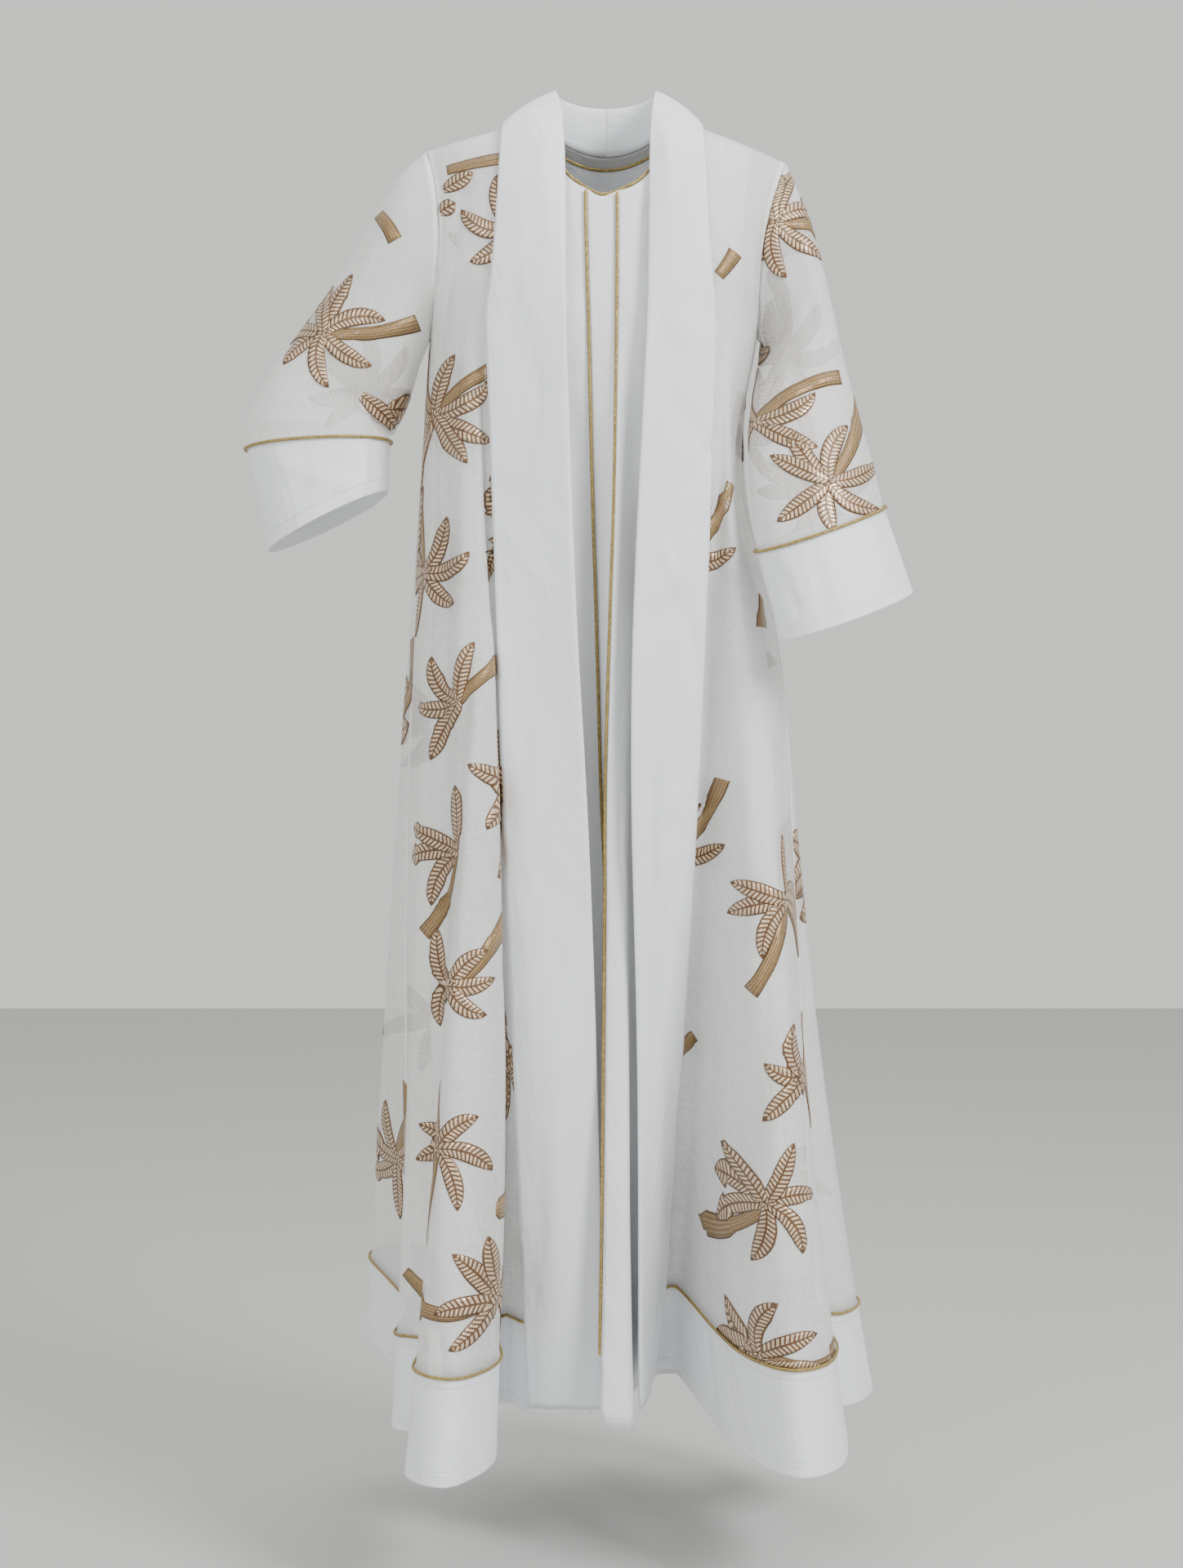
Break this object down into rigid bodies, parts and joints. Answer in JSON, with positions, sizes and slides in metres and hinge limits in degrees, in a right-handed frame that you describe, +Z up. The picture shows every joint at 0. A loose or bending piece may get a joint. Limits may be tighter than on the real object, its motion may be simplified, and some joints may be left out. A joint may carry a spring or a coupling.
{
  "type": "open-front abaya with shawl collar and inner dress",
  "caption": "Full-length sheer open-front abaya with a wide shawl collar, flared banded sleeves and piped hem band, over a plain sleeveless V-neck dress, in its hollow worn form.",
  "frame": {"origin": "midway between the high points of the two shoulders, where the wearer's shoulders carry the cloth (mount shoulder_rest)", "axes": "+Z up from the hem to the shoulders, the front faces -Y, +X is the wearer's left"},
  "size_m": [0.686, 0.5337, 1.403],
  "materials": {
    "organza": "sheer crisp warm-white organza with fine slubs, palms embroidered in rose-gold thread",
    "crepe": "opaque cool-white satin-backed crepe with a low sheen",
    "dress": "opaque white dress crepe, nearly matt",
    "gold": "glittering gold metallic cord piping"
  },
  "bodies": {
    "root": {"abaya_back": "organza", "abaya_yoke": "organza", "abaya_front_left": "organza", "abaya_front_right": "organza", "abaya_sleeve_left": "organza", "abaya_sleeve_right": "organza", "cuff_left": "crepe", "cuff_right": "crepe", "shawl_collar_left": "crepe", "shawl_collar_right": "crepe", "hem_band_back": "crepe", "hem_band_front_left": "crepe", "hem_band_front_right": "crepe", "dress_back": "dress", "dress_front_centre": "dress", "dress_front_left": "dress", "dress_front_right": "dress", "piping_cuff_left": "gold", "piping_cuff_right": "gold", "piping_front_left": "gold", "piping_front_right": "gold", "piping_hem_back": "gold", "piping_hem_front_left": "gold", "piping_hem_front_right": "gold", "piping_neck": "gold"}
  },
  "joints": []
}
